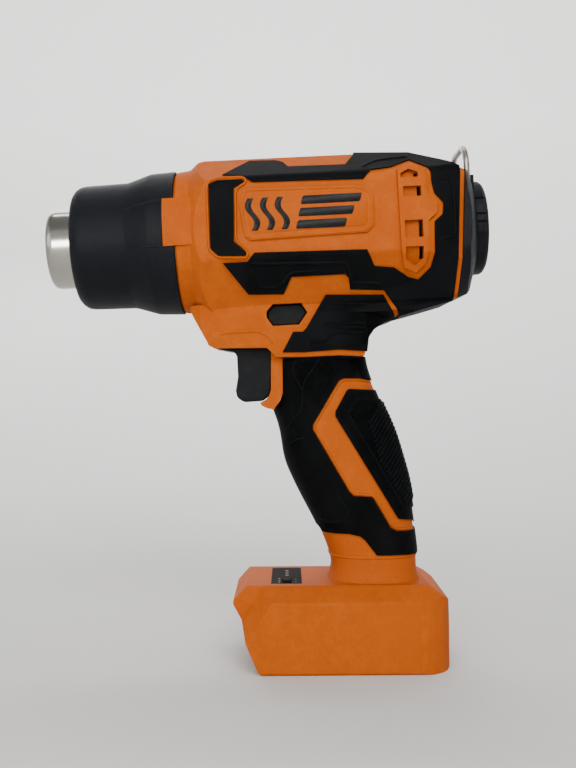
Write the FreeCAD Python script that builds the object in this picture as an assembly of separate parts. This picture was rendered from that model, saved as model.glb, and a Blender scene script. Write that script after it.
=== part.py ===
import FreeCAD, Part
import math
import os

V = FreeCAD.Vector

# ---------------------------------------------------------------- dimensions, mm
BARREL_HEIGHT = 182.0
BARREL_TILT = 2.6
WALL = 2.6
RUBBER_PROUD = 0.8
RUBBER_SUNK = 1.2
PAD_PROUD = 1.5
PANEL_PROUD = 1.0
VENT_PROUD = 1.6
VENT_FLOOR_SUNK = 0.8
MOVING_GAP = 0.35
REACH = 60.0
BODY_EDGE_RADIUS = 4.0
BLOCK_EDGE_RADIUS = 3.0
FOOT_EDGE_RADIUS = 1.6

NOZZLE_RADIUS = 17.05
NOZZLE_WALL = 0.8
NOZZLE_FRONT = -93.5
NOZZLE_BACK = -46.5
NOZZLE_SEAT_BACK = -60.0
NOZZLE_RELIEF = 0.2
SHROUD_MOUTH = 18.1
NOZZLE_FLANGE_RADIUS = 28.0

MICA_RADIUS = 15.8
MICA_WALL = 0.6
MICA_FRONT = -84.0
MICA_BACK = -12.0
CORE_RADIUS = 11.8
CORE_THICKNESS = 0.8
CORE_FRONT = -80.0
CORE_BACK = -24.0
COIL_WIRE = 0.55
COIL_PITCH = 4.0

FAN_RADIUS = 23.8
FAN_FRONT = 30.0
FAN_BACK = 40.0
FAN_BLADES = 9
SHAFT_RADIUS = 1.15
SHAFT_CLEARANCE = 0.06
MOTOR_RADIUS = 13.5
MOTOR_FRONT = 46.0
MOTOR_BACK = 72.0
DUCT_WALL = 1.2
DUCT_RADIUS = 26.0
DUCT_SLEEVE_RADIUS = 17.2

TRIGGER_HALF_WIDTH = 11.6
BEZEL_HALF_WIDTH = 13.8
TRIGGER_TRAVEL = 6.0
SPRING_RADIUS = 3.2
SPRING_WIRE = 0.4
SPRING_LENGTH = 8.5
SPRING_TURNS = 5
LOCK_HALF_LENGTH = 20.0
LOCK_OFFSET = 2.5

DRUM_RADIUS = 20.6
DRUM_FRONT = 84.0
DRUM_BACK = 93.4
DRUM_PAD_PROUD = 0.7
# Raised pads on the side of the drum, in degrees up from level.
DRUM_PADS = [(29.0, 50.0), (9.5, 26.5), (0.5, 7.0), (-13.0, -2.0)]

LOOP_WIRE = 1.25
LOOP_HALF_WIDTH = 17.0
LOOP_TOP = 33.2
LOOP_CORNER = 9.5
LOOP_U = 85.5
LOOP_V = 17.5
LOOP_PIN_CLEARANCE = 0.06
LOOP_SLOT_HALF = 1.65

FOOT_HALF_WIDTH = 31.5
FOOT_TOP_HALF_WIDTH = 22.0
FOOT_HEIGHT = 35.0
FOOT_FLOOR = 15.6
BAY_HALF_WIDTH = 25.0
BAY_HEIGHT = 13.0
BAY_BACK = 64.0
RAIL_LOW = 3.0
RAIL_HIGH = 6.5
RAIL_HALF_WIDTH = 21.5

BLADE_PLACES = (-9.0, -3.0, 3.0, 9.0)

PANEL_FRONT = 1.0
PANEL_BACK = 14.0
PANEL_HALF_WIDTH = 18.0
PANEL_THICKNESS = 0.8
BOARD_HALF_WIDTH = 19.5
BUTTON_X = 7.75
BUTTON_Y = -12.0
BUTTON_HALF_X = 1.75
BUTTON_HALF_Y = 3.5

SCREW_HEAD_RADIUS = 3.0
SCREW_SHANK_RADIUS = 1.4
SCREW_SEAT = 8.0
SCREW_LENGTH = 15.0
BOSS_RADIUS = 3.8
SCREW_PLACES = [(-20.0, 143.0), (36.0, 143.5), (68.0, 158.5), (56.0, 208.5), (-12.0, 207.5),
                (24.0, 92.0), (35.5, 46.0), (67.0, 22.0), (-6.0, 27.0)]

# ---------------------------------------------------------------- outlines, mm
# Upper body seen from the side, in barrel coordinates (along the barrel, above its axis).
BODY_SIDE = [(-33.0, -33.0), (-33.0, 28.0), (-31.0, 30.5), (-24.5, 32.7), (37.0, 32.2),
             (61.0, 30.4), (74.0, 24.4), (79.5, 21.4), (82.1, 20.4), (78.2, -31.2),
             (53.5, -37.0), (46.0, -38.5), (-29.5, -38.5)]
# Half of the body's cross-section (out from the mid-plane, above the axis).
BODY_SECTION = [(12.0, 33.0), (33.0, 20.0), (33.0, -12.0), (20.5, -31.0), (18.5, -39.0)]
# Half of the body seen from above (along the barrel, out from the mid-plane).
BODY_PLAN = [(-33.0, 33.0), (62.0, 33.0), (82.1, 30.0)]
# Tongue on each side of the housing that reaches forward into the guard.
TAB_FRONT = -42.0
TAB_LOW = -5.0
TAB_HIGH = 15.0
COLLAR = [(-37.5, 29.6), (-36.6, 30.4), (-31.0, 31.0), (-31.0, 26.0), (-37.5, 26.0)]
# Cone that turns the collar's round into the body's flats (along the barrel, radius).
SHOULDER = [(-36.0, 30.6), (-31.0, 31.2), (-22.0, 39.5), (66.0, 40.0), (83.0, 34.8)]

# Block below the body that carries the trigger and meets the handle (x, z).
LOWER_SIDE = [(-33.5, 152.0), (-31.0, 147.0), (-25.0, 136.5), (-24.5, 135.0), (-22.0, 134.0),
              (0.0, 134.0), (4.0, 130.0), (41.0, 130.0), (41.5, 134.5), (42.0, 138.5),
              (44.5, 142.0), (49.0, 145.0), (56.0, 147.5), (56.0, 152.0)]
LOWER_SECTION = [(22.0, 156.0), (20.5, 149.0), (17.3, 128.0)]
LOWER_PLAN = [(-33.5, 13.0), (-28.0, 18.0), (-18.0, 21.5), (30.0, 21.5), (42.0, 18.5),
              (50.0, 14.0), (57.0, 7.0)]

# Handle: height, front x, back x, half width.
HANDLE_STATIONS = [(138.0, 0.8, 41.6, 16.8), (128.0, 1.6, 42.2, 17.0), (120.0, 1.8, 44.6, 17.0),
                   (112.0, 2.0, 47.8, 17.0), (105.0, 3.8, 50.8, 17.0), (98.0, 5.8, 53.7, 17.0),
                   (90.0, 7.0, 56.2, 17.0), (80.0, 10.2, 59.0, 17.0), (70.0, 15.0, 60.9, 17.0),
                   (62.0, 19.2, 62.0, 17.0), (54.0, 23.0, 63.0, 17.0), (46.0, 26.0, 63.7, 17.4),
                   (38.0, 26.5, 64.1, 18.2), (34.5, 25.2, 65.2, 19.6),
                   (30.0, 24.5, 66.0, 20.5)]
HANDLE_SQUARENESS = 2.6
HANDLE_POINTS = 20
# Rim around the back and the foot of the trigger (x, z).
TRIGGER_BEZEL = [(1.6, 135.0), (1.5, 116.3), (0.6, 113.6), (-0.8, 112.0), (-3.2, 110.7), (-2.4, 109.5),
                 (0.0, 108.4), (2.5, 107.9), (4.9, 111.0), (6.4, 114.8), (6.4, 130.5), (10.0, 135.0)]

FOOT_SIDE = [(-9.3, 35.0), (-14.8, 29.0), (-14.6, 27.3), (-11.2, 21.0), (-9.2, 13.0), (-4.3, 1.5),
             (-2.5, 0.0), (74.4, 0.0), (76.0, 2.4), (74.6, 29.5), (66.5, 35.0)]
FOOT_SECTION = [(FOOT_TOP_HALF_WIDTH, FOOT_HEIGHT), (FOOT_HALF_WIDTH, 29.5), (FOOT_HALF_WIDTH, 0.0)]
FOOT_PLAN = [(-15.0, FOOT_HALF_WIDTH), (62.0, FOOT_HALF_WIDTH), (67.5, 30.3), (72.0, 26.8),
             (75.0, 21.5), (76.0, 15.0)]
# Line along which the side of the foot breaks towards the narrower nose (x, z).
NOSE_BREAK_TOP = (1.3, 29.5)
NOSE_BREAK_BOTTOM = (-8.5, 14.6)
NOSE_FACET_WIDTH = 6.0
NOSE_HALF_WIDTH = 22.5

# Soft covering of the body, in barrel coordinates.
BODY_GRIP = [(-16.5, 23.0), (-5.5, 31.0), (5.5, 30.5), (8.5, 29.0), (10.5, 26.0), (34.0, 25.5),
             (38.5, 32.0), (38.5, 45.0), (82.0, 45.0), (75.6, -45.0), (54.0, -45.0), (54.0, -37.0),
             (52.5, -34.0), (48.5, -28.5), (47.5, -27.0), (33.5, -26.0), (33.0, -21.5),
             (31.5, -20.0), (9.5, -20.0), (6.0, -26.5), (-8.5, -26.0), (-18.0, -13.5),
             (-8.0, -13.5), (-5.0, -10.0), (40.5, -11.0), (43.5, -17.5), (51.5, -18.5),
             (57.5, -22.5), (61.5, -23.5), (66.5, -19.0), (68.0, -13.5), (68.5, -1.0),
             (72.0, 2.0), (72.5, 6.5), (69.0, 10.5), (68.0, 15.0), (68.0, 19.0), (66.5, 21.5),
             (60.5, 26.5), (52.0, 22.5), (44.0, 21.5), (40.5, 17.5), (-4.5, 18.5), (-8.5, 22.0)]
SIDE_BRACKET = [(-22.0, 18.5), (-18.5, 20.0), (-8.5, 20.0), (-7.5, 19.0), (-12.0, 16.5),
                (-13.0, -5.0), (-8.5, -9.5), (-8.5, -11.0), (-19.5, -10.5), (-22.5, -7.5)]
SIDE_PANEL = [(-8.0, 16.0), (39.0, 15.0), (44.0, 11.5), (44.0, -1.0), (41.0, -4.0), (-6.0, -5.0),
              (-8.5, -3.0), (-10.0, 9.5)]
VENT_FRAME = [(54.2, 20.9), (60.0, 24.0), (65.2, 20.0), (66.0, 10.0), (70.0, 6.5),
              (69.5, 2.5), (66.0, -0.5), (65.5, -13.0), (64.0, -18.0), (60.5, -21.0), (55.4, -18.8),
              (54.4, -12.0)]
# Sunk windows of the vent frame; each lets air in through a slit at its rear end.
VENT_WINDOWS = [[(55.4, 17.0), (55.4, 18.8), (58.8, 20.6), (62.4, 18.9), (62.4, 17.0)],
                [(56.2, 9.3), (56.2, 13.4), (63.4, 13.4), (63.4, 9.3)],
                [(56.2, -7.2), (56.2, -0.3), (63.5, -0.3), (63.5, -7.2)],
                [(56.2, -15.6), (56.2, -10.9), (63.3, -10.9), (63.3, -15.6), (59.8, -18.4)]]
VENT_SLIT = 1.5
REAR_MOUTH_SIDE = [(60.0, 25.0), (66.0, 24.0), (74.0, 20.4), (80.0, 18.0), (90.0, 17.0), (90.0, -30.0),
                   (60.0, -33.0)]

# Soft coverings of the neck and handle (x, z).
NECK_GRIP = [(24.5, 155.5), (48.5, 155.5), (53.5, 147.5), (58.0, 140.0), (50.0, 131.8),
             (37.5, 132.5), (30.0, 133.0), (15.5, 132.0), (6.5, 132.0), (11.0, 140.5),
             (15.0, 140.5), (16.5, 142.0)]
HANDLE_GRIP = [(6.5, 129.6), (6.5, 114.8), (5.0, 111.0), (2.6, 107.8), (-5.0, 106.0), (-5.0, 58.0),
               (21.0, 58.0), (23.0, 55.5), (34.0, 55.5), (38.5, 54.5), (40.5, 53.0), (45.5, 46.5),
               (55.0, 46.5), (75.0, 45.5), (75.0, 128.0), (50.0, 129.2), (37.5, 130.2), (30.0, 130.6)]
HANDLE_INLAY = [(70.0, 119.0), (44.0, 120.0), (39.0, 121.0), (32.0, 121.0), (30.0, 120.0),
                (19.0, 101.5), (19.0, 99.5), (34.0, 73.5), (36.0, 71.5), (43.5, 71.0),
                (44.5, 70.0), (51.5, 58.0), (54.0, 56.5), (60.5, 56.0), (80.0, 56.5),
                (80.0, 112.0)]
HANDLE_INLAY_INNER = [(85.0, 59.0), (62.5, 59.0), (61.0, 60.5), (55.0, 61.5), (54.0, 63.0),
                      (28.5, 105.0), (28.5, 107.0), (33.5, 116.0), (34.5, 116.5), (85.0, 114.0)]
GRIP_PAD = [(37.0, 112.5), (75.0, 111.0), (80.0, 66.0), (57.0, 65.5), (56.5, 68.0), (34.0, 104.5),
            (33.5, 106.5)]

TRIGGER_SIDE = [(-21.0, 137.0), (-4.5, 138.0), (0.0, 135.5), (2.0, 132.0), (1.5, 115.5),
                (0.5, 113.5), (-2.0, 111.5), (-10.0, 111.0), (-13.0, 113.0), (-13.6, 116.0),
                (-12.6, 122.0), (-13.0, 130.5), (-14.0, 132.5), (-20.0, 133.5), (-21.0, 135.0)]
LOCK_SLOT = [(2.5, 152.0), (0.0, 149.0), (0.0, 146.5), (2.5, 143.0), (13.5, 143.5), (17.0, 148.5),
             (14.5, 152.5)]


# ---------------------------------------------------------------- helpers
def grown(points, amount):
    """A closed outline moved outward by amount, its corners kept sharp."""
    count = len(points)
    area = 0.0
    for i in range(count):
        x0, z0 = points[i - 1]
        x1, z1 = points[i]
        area += x0 * z1 - x1 * z0
    turn = 1.0 if area > 0 else -1.0
    result = []
    for i in range(count):
        x0, z0 = points[i - 1]
        x1, z1 = points[i]
        x2, z2 = points[(i + 1) % count]
        first = V(z1 - z0, x0 - x1, 0).normalize()
        second = V(z2 - z1, x1 - x2, 0).normalize()
        reach = turn * amount / (1.0 + first.dot(second))
        result.append((x1 + (first.x + second.x) * reach, z1 + (first.y + second.y) * reach))
    return result


def mirrored(half):
    """A closed outline from its half, given from top to bottom at positive width."""
    other = [(-w, h) for w, h in reversed(half)]
    return half + other


def outline_face(corners, radius):
    """Flat face inside a closed outline, its corners rounded to a radius where they have room."""
    if radius <= 0:
        return Part.Face(Part.makePolygon(corners + corners[:1]))
    edges = []
    starts = []
    ends = []
    middles = []
    count = len(corners)
    for i in range(count):
        corner = corners[i]
        back = corners[i - 1] - corner
        ahead = corners[(i + 1) % count] - corner
        half_angle = back.getAngle(ahead) / 2
        room = 0.45 * min(back.Length, ahead.Length)
        setback = min(radius / math.tan(half_angle), room)
        arc_radius = setback * math.tan(half_angle)
        back.normalize()
        ahead.normalize()
        inward = (back + ahead).normalize()
        starts.append(corner + back * setback)
        ends.append(corner + ahead * setback)
        depth = arc_radius / math.sin(half_angle) - arc_radius
        middles.append(corner + inward * depth)
    for i in range(count):
        edges.append(Part.Arc(starts[i], middles[i], ends[i]).toShape())
        edges.append(Part.makeLine(ends[i], starts[(i + 1) % count]))
    return Part.Face(Part.Wire(edges))


def side_prism(points, y0, y1, radius=0.0):
    """Solid from an outline seen from the side, running across the tool."""
    face = outline_face([V(x, y0, z) for x, z in points], radius)
    return face.extrude(V(0, y1 - y0, 0))


def section_prism(points, x0, x1, radius=0.0):
    """Solid from a cross-section outline, running along the barrel."""
    face = outline_face([V(x0, y, z) for y, z in points], radius)
    return face.extrude(V(x1 - x0, 0, 0))


def plan_prism(points, z0, z1, radius=0.0):
    """Solid from an outline seen from above, running upward."""
    face = outline_face([V(x, y, z0) for x, y in points], radius)
    return face.extrude(V(0, 0, z1 - z0))


def plan_outline(half):
    """A closed outline seen from above from its half at positive width."""
    return half + [(x, -y) for x, y in reversed(half)]


def box(x0, x1, y0, y1, z0, z1):
    return Part.makeBox(x1 - x0, y1 - y0, z1 - z0, V(x0, y0, z0))


def rod(radius, u0, u1, y=0.0, v=0.0):
    """Cylinder along the barrel."""
    return Part.makeCylinder(radius, u1 - u0, V(u0, y, v), V(1, 0, 0))


def cross_rod(radius, x, z, y0, y1):
    """Cylinder across the tool."""
    return Part.makeCylinder(radius, y1 - y0, V(x, y0, z), V(0, 1, 0))


def turned(profile):
    """Solid turned about the barrel axis from (along, radius) points."""
    corners = [V(u, 0, r) for u, r in profile]
    face = Part.Face(Part.makePolygon(corners + corners[:1]))
    return face.revolve(V(0, 0, 0), V(1, 0, 0), 360)


def placed(shape):
    """A shape drawn in barrel coordinates, put where the barrel is."""
    result = shape.copy()
    result.rotate(V(0, 0, 0), V(0, 1, 0), -BARREL_TILT)
    result.translate(V(0, 0, BARREL_HEIGHT))
    return result


def flipped(shape):
    """The same shape on the other side of the tool."""
    return shape.mirror(V(0, 0, 0), V(0, 1, 0))


def joined(shapes):
    return shapes[0].fuse(shapes[1:]).removeSplitter()


def common(shapes):
    result = shapes[0]
    for shape in shapes[1:]:
        result = result.common(shape)
    return result


# ---------------------------------------------------------------- outer form
def upper_body(growth):
    """Faceted barrel body, grown outward or inward, without its collar."""
    side = side_prism(grown(BODY_SIDE, growth), -REACH, REACH)
    radius = BODY_EDGE_RADIUS + growth
    section = section_prism(grown(mirrored(BODY_SECTION), growth), -50, 95, radius)
    plan = plan_prism(grown(plan_outline(BODY_PLAN), growth), -REACH, REACH)
    profile = [(u, r + growth) for u, r in SHOULDER]
    shoulder = turned([(-36.0, 0.0)] + profile + [(83.0, 0.0)])
    return placed(common([side, section, plan, shoulder]))


def lower_block(growth):
    """Block under the body around the trigger and the top of the handle."""
    radius = BLOCK_EDGE_RADIUS + growth
    side = side_prism(grown(LOWER_SIDE, growth), -REACH, REACH, radius / 2)
    section = section_prism(grown(mirrored(LOWER_SECTION), growth), -50, 80, radius)
    plan = plan_prism(grown(plan_outline(LOWER_PLAN), growth), 100, 170, 2 * radius)
    return common([side, section, plan])


def handle_section(station, growth):
    """One level, rounded cross-section of the handle."""
    height, front, back, half_width = station
    half_depth = (back - front) / 2 + growth
    middle = (back + front) / 2
    power = 2.0 / HANDLE_SQUARENESS
    points = []
    for i in range(HANDLE_POINTS):
        angle = 2 * math.pi * i / HANDLE_POINTS
        c = math.cos(angle)
        s = math.sin(angle)
        x = middle + half_depth * math.copysign(abs(c) ** power, c)
        y = (half_width + growth) * math.copysign(abs(s) ** power, s)
        points.append(V(x, y, height))
    curve = Part.BSplineCurve()
    curve.interpolate(points, PeriodicFlag=True)
    return Part.Wire(curve.toShape())


def handle(growth):
    """Rounded, leaning handle from the foot to the trigger block."""
    sections = [handle_section(station, growth) for station in HANDLE_STATIONS]
    return Part.makeLoft(sections, True, False)


def foot(growth):
    """Wide foot under the handle."""
    radius = FOOT_EDGE_RADIUS
    side = side_prism(grown(FOOT_SIDE, growth), -REACH, REACH, radius)
    section = section_prism(grown(mirrored(FOOT_SECTION), growth), -50, 100, radius)
    plan = plan_prism(grown(plan_outline(FOOT_PLAN), growth), -5, 50, 5 * radius)
    return common([side, section, plan]).cut([nose_cut(-1, growth), nose_cut(1, growth)])


def nose_cut(side, growth):
    """Wedge taken off one side of the foot to leave its narrower nose."""
    top_x, top_z = NOSE_BREAK_TOP
    low_x, low_z = NOSE_BREAK_BOTTOM
    angle = math.degrees(math.atan2(top_x - low_x, top_z - low_z))
    corners = [(0.0, FOOT_HALF_WIDTH), (-NOSE_FACET_WIDTH, NOSE_HALF_WIDTH),
               (-REACH, NOSE_HALF_WIDTH), (-REACH, REACH), (0.0, REACH)]
    outline = [(x - growth * 0.7, side * (y + growth)) for x, y in corners]
    wedge = plan_prism(outline, -REACH, REACH)
    wedge.rotate(V(0, 0, 0), V(0, 1, 0), angle)
    wedge.translate(V(low_x, 0, low_z))
    return wedge


def upper_form(growth):
    """Body, trigger block and handle as one outer form."""
    return joined([upper_body(growth), lower_block(growth), handle(growth)])


# ---------------------------------------------------------------- housing
def ribs():
    """Inner ribs that hold the duct, the motor bracket and the switch."""
    sleeve = rod(REACH, -13.0, -11.0).cut(rod(DUCT_SLEEVE_RADIUS, -14, -10))
    rim = rod(REACH, 44.5, 46.5).cut(rod(DUCT_RADIUS, 44, 47))
    seat = box(18.5, 36.0, -8.5, 8.5, 112.0, 134.0)
    walls = [box(x, x + 2, -REACH, REACH, 112, 134).cut(seat) for x in (20.0, 32.0)]
    return [placed(sleeve), placed(rim)] + walls


def screw_boss(x, z):
    return cross_rod(BOSS_RADIUS, x, z, -REACH, REACH)


def battery_bay():
    """Space the battery slides into from the front, between two rails."""
    bay = box(-30, BAY_BACK, -BAY_HALF_WIDTH, BAY_HALF_WIDTH, -5, BAY_HEIGHT)
    left_rail = box(2, BAY_BACK, -BAY_HALF_WIDTH, -RAIL_HALF_WIDTH, RAIL_LOW, RAIL_HIGH)
    right_rail = box(2, BAY_BACK, RAIL_HALF_WIDTH, BAY_HALF_WIDTH, RAIL_LOW, RAIL_HIGH)
    return bay.cut([left_rail, right_rail])


def vent_windows():
    """Sunk windows on both sides, each with a through slit at its rear end."""
    frame_skin = upper_body(VENT_PROUD).cut(upper_body(-VENT_FLOOR_SUNK))
    cuts = []
    for outline in VENT_WINDOWS:
        cuts.append(frame_skin.common(placed(side_prism(outline, -REACH, REACH))))
        back = max(u for u, v in outline)
        low = min(v for u, v in outline if u == back)
        high = max(v for u, v in outline if u == back)
        slit = box(back - VENT_SLIT, back, -REACH, REACH, low, high)
        cuts.append(placed(slit.cut(box(50, 70, -22, 22, -40, 40))))
    return cuts


def trigger_pocket():
    """Space the trigger and its stem move in."""
    swept = grown(TRIGGER_SIDE, MOVING_GAP)
    width = TRIGGER_HALF_WIDTH + MOVING_GAP
    pocket = side_prism(swept, -width, width)
    travel = pocket.copy()
    travel.translate(V(TRIGGER_TRAVEL + 0.5, 0, 0))
    room = box(-12, TRIGGER_TRAVEL + 0.5, -width, width, 111.3, 137.4)
    return joined([pocket, travel, room])


def housing_solid():
    """Both halves of the housing in one piece, before they are parted."""
    outer = upper_form(0.0)
    foot_form = foot(0.0)
    collar = placed(turned(COLLAR))
    bezel = side_prism(TRIGGER_BEZEL, -BEZEL_HALF_WIDTH, BEZEL_HALF_WIDTH)
    panels = []
    for outline, proud in ((SIDE_PANEL, PANEL_PROUD), (VENT_FRAME, VENT_PROUD)):
        plate = placed(side_prism(outline, -REACH, REACH))
        panels.append(upper_body(proud).common(plate))
    body = joined([outer, foot_form, collar, side_tabs(0.0), bezel] + panels)
    cavity = joined([upper_body(-WALL), lower_block(-WALL), handle(-WALL)])
    cavity = cavity.cut(box(-40, 90, -REACH, REACH, -10, 30))
    foot_room = foot(-WALL).common(box(20, 80, -REACH, REACH, FOOT_FLOOR, 33))
    cavity = cavity.fuse(foot_room)
    bore = placed(rod(26.0, -45, 0))
    front_mouth = placed(rod(26.0, -45, 20))
    rear_mouth = placed(section_prism(grown(mirrored(BODY_SECTION), -WALL - 1.5), 60, 90))
    rear_mouth = rear_mouth.common(placed(rod(28.0, 60, 90)))
    rear_mouth = rear_mouth.common(placed(side_prism(REAR_MOUTH_SIDE, -REACH, REACH)))
    board_room = box(-4, 21, -BOARD_HALF_WIDTH, BOARD_HALF_WIDTH, 22, FOOT_HEIGHT - 2.2)
    inside = [screw_boss(x, z).common(cavity) for x, z in SCREW_PLACES]
    inside = inside + [rib.common(cavity.fuse([bore, front_mouth])) for rib in ribs()]
    shell = body.cut([cavity, bore, front_mouth, rear_mouth, board_room])
    shell = shell.fuse(inside)
    leads = [Part.makeCylinder(1.3, 6.0, V(50.0, y, BAY_HEIGHT - 1)) for y in (-4.0, 4.0)]
    return shell.cut([battery_bay(), trigger_pocket()] + vent_windows() + leads)


def side_tabs(gap):
    """Tongues of the housing that reach forward into the guard on both sides."""
    front = TAB_FRONT - gap
    ring = turned([(front, 27.6), (front, 30.9), (-36.5, 31.4), (-31.0, 31.9), (-29.0, 32.1),
                   (-29.0, 27.6)])
    return placed(ring.common(box(-50, -20, -REACH, REACH, TAB_LOW - gap, TAB_HIGH + gap)))


def lock_bar_pocket():
    return side_prism(LOCK_SLOT, -REACH, REACH)


def screw_holes(side):
    """Pilot holes on the left, through holes with a head seat on the right."""
    holes = []
    for x, z in SCREW_PLACES:
        if side < 0:
            holes.append(cross_rod(SCREW_SHANK_RADIUS, x, z, SCREW_SEAT - SCREW_LENGTH, 0))
        else:
            holes.append(cross_rod(SCREW_SHANK_RADIUS + 0.3, x, z, 0, SCREW_SEAT))
            holes.append(cross_rod(SCREW_HEAD_RADIUS + 0.3, x, z, SCREW_SEAT, REACH))
    return holes


def screws():
    """Housing screws, driven from the right side."""
    parts = []
    for x, z in SCREW_PLACES:
        shank = cross_rod(SCREW_SHANK_RADIUS, x, z, SCREW_SEAT - SCREW_LENGTH, SCREW_SEAT)
        head = cross_rod(SCREW_HEAD_RADIUS, x, z, SCREW_SEAT, SCREW_SEAT + 2.2)
        recess = cross_rod(1.3, x, z, SCREW_SEAT + 1.0, SCREW_SEAT + 2.2)
        parts.append(shank.fuse(head).cut(recess).removeSplitter())
    return Part.makeCompound(parts)


# ---------------------------------------------------------------- soft coverings
def soft_piece(skin, outline, in_barrel, minus=None):
    """Part of the outer skin inside an outline, on the left half."""
    region = side_prism(outline, -REACH, 0)
    if minus is not None:
        region = region.cut(minus)
    if in_barrel:
        region = placed(region)
    return skin.common(region)


def inlay_prism():
    outer = side_prism(HANDLE_INLAY, -REACH, 0)
    inner = side_prism(HANDLE_INLAY_INNER, -REACH, 0)
    return outer.cut(inner)


# ---------------------------------------------------------------- heater and air path
def front_shroud():
    """Heat-proof guard around the heater tube."""
    outer = [(-82.0, SHROUD_MOUTH), (-82.0, 22.0), (-81.6, 23.8), (-80.4, 25.3), (-78.7, 26.3),
             (-76.5, 26.7), (-59.0, 27.1), (-57.5, 27.4), (-49.5, 30.0), (-48.0, 30.4), (-37.6, 30.9)]
    inner = [(-37.6, 28.4), (-48.4, 28.0), (-57.8, 24.9), (-77.0, 24.3), (-79.6, 22.0),
             (-79.6, SHROUD_MOUTH)]
    return placed(turned(outer + inner)).cut(side_tabs(0.05))


def outlet_nozzle():
    """Stainless outlet tube with a rolled lip and a flange at its inner end."""
    r = NOZZLE_RADIUS
    w = NOZZLE_WALL
    f = NOZZLE_FRONT
    relieved = r - NOZZLE_RELIEF
    outer = [(f + 0.9, r - 2.75), (f + 0.2, r - 2.5), (f, r - 2.0), (f + 0.35, r - 1.1), (f + 1.2, r - 0.4),
             (f + 2.4, r - 0.05), (f + 3.5, r), (NOZZLE_SEAT_BACK, r),
             (NOZZLE_SEAT_BACK + 0.3, relieved), (NOZZLE_BACK - 1.2, relieved),
             (NOZZLE_BACK - 1.2, NOZZLE_FLANGE_RADIUS), (NOZZLE_BACK, NOZZLE_FLANGE_RADIUS)]
    inner = [(NOZZLE_BACK, r - w), (f + 3.4, r - w), (f + 2.0, r - w - 0.4), (f + 1.4, r - w - 1.2)]
    return placed(turned(outer + inner))


def mica_tube():
    tube = rod(MICA_RADIUS, MICA_FRONT, MICA_BACK)
    return placed(tube.cut(rod(MICA_RADIUS - MICA_WALL, MICA_FRONT - 1, MICA_BACK + 1)))


def heater_core():
    """Crossed mica boards the coil is wound on."""
    upright = box(CORE_FRONT, CORE_BACK, -CORE_THICKNESS / 2, CORE_THICKNESS / 2,
                  -CORE_RADIUS, CORE_RADIUS)
    boards = [upright]
    for angle in (60, 120):
        board = upright.copy()
        board.rotate(V(0, 0, 0), V(1, 0, 0), angle)
        boards.append(board)
    spider = rod(MICA_RADIUS - MICA_WALL, CORE_BACK, CORE_BACK + 1.5)
    windows = []
    for i in range(6):
        window = rod(3.4, CORE_BACK - 1, CORE_BACK + 3, 0, 9.5)
        window.rotate(V(0, 0, 0), V(1, 0, 0), 60 * i + 30)
        windows.append(window)
    return placed(joined(boards + [spider]).cut(windows))


def heating_coil():
    """Resistance wire wound around the mica core."""
    radius = CORE_RADIUS + COIL_WIRE + 0.15
    length = CORE_BACK - CORE_FRONT - 8
    helix = Part.makeHelix(COIL_PITCH, length, radius)
    start = V(radius, 0, 0)
    profile = Part.Wire(Part.makeCircle(COIL_WIRE, start, V(0, 1, 0)))
    coil = Part.Wire(helix).makePipeShell([profile], True, True)
    coil.rotate(V(0, 0, 0), V(0, 1, 0), 90)
    coil.translate(V(CORE_FRONT + 4, 0, 0))
    return placed(coil)


def thermal_fuse():
    """Axial thermal cut-out lying in the air stream behind the heater."""
    can = rod(1.8, -21.0, -13.0, 6.0, 4.0)
    lead = rod(0.5, -22.4, -10.0, 6.0, 4.0)
    return placed(can.fuse(lead).removeSplitter())


def air_duct():
    """Duct from the fan down to the heater tube."""
    r = DUCT_RADIUS
    w = DUCT_WALL
    outer = [(-14.0, DUCT_SLEEVE_RADIUS), (-6.0, DUCT_SLEEVE_RADIUS), (24.0, r), (44.0, r)]
    inner = [(44.0, r - w), (24.5, r - w), (-5.6, MICA_RADIUS), (-14.0, MICA_RADIUS)]
    return placed(turned(outer + inner))


def motor_body():
    """Fan motor with its end bosses, bored for the shaft."""
    profile = [(MOTOR_FRONT - 3, 0), (MOTOR_FRONT - 3, 5.0), (MOTOR_FRONT, 5.0),
               (MOTOR_FRONT, MOTOR_RADIUS - 0.8), (MOTOR_FRONT + 0.8, MOTOR_RADIUS),
               (MOTOR_BACK - 0.8, MOTOR_RADIUS), (MOTOR_BACK, MOTOR_RADIUS - 0.8),
               (MOTOR_BACK, 5.0), (MOTOR_BACK + 2, 5.0), (MOTOR_BACK + 2, 0)]
    bore = rod(SHAFT_RADIUS + SHAFT_CLEARANCE, MOTOR_FRONT - 5, MOTOR_BACK + 5)
    return placed(turned(profile).cut(bore))


def motor_bracket():
    """Ring and three arms that hold the motor behind the duct."""
    ring = rod(MOTOR_RADIUS + 1.6, 47, 55).cut(rod(MOTOR_RADIUS, 46, 56))
    rim = rod(DUCT_RADIUS, 44, 47).cut(rod(DUCT_RADIUS - 2.4, 43, 48))
    arms = []
    for i in range(3):
        arm = box(44.0, 50, -1.5, 1.5, MOTOR_RADIUS + 0.6, DUCT_RADIUS - 1)
        arm.rotate(V(0, 0, 0), V(1, 0, 0), 120 * i)
        arms.append(arm)
    return placed(joined([ring, rim] + arms))


def rotor_shaft():
    return placed(rod(SHAFT_RADIUS, FAN_FRONT - 1, MOTOR_BACK + 4))


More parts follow.
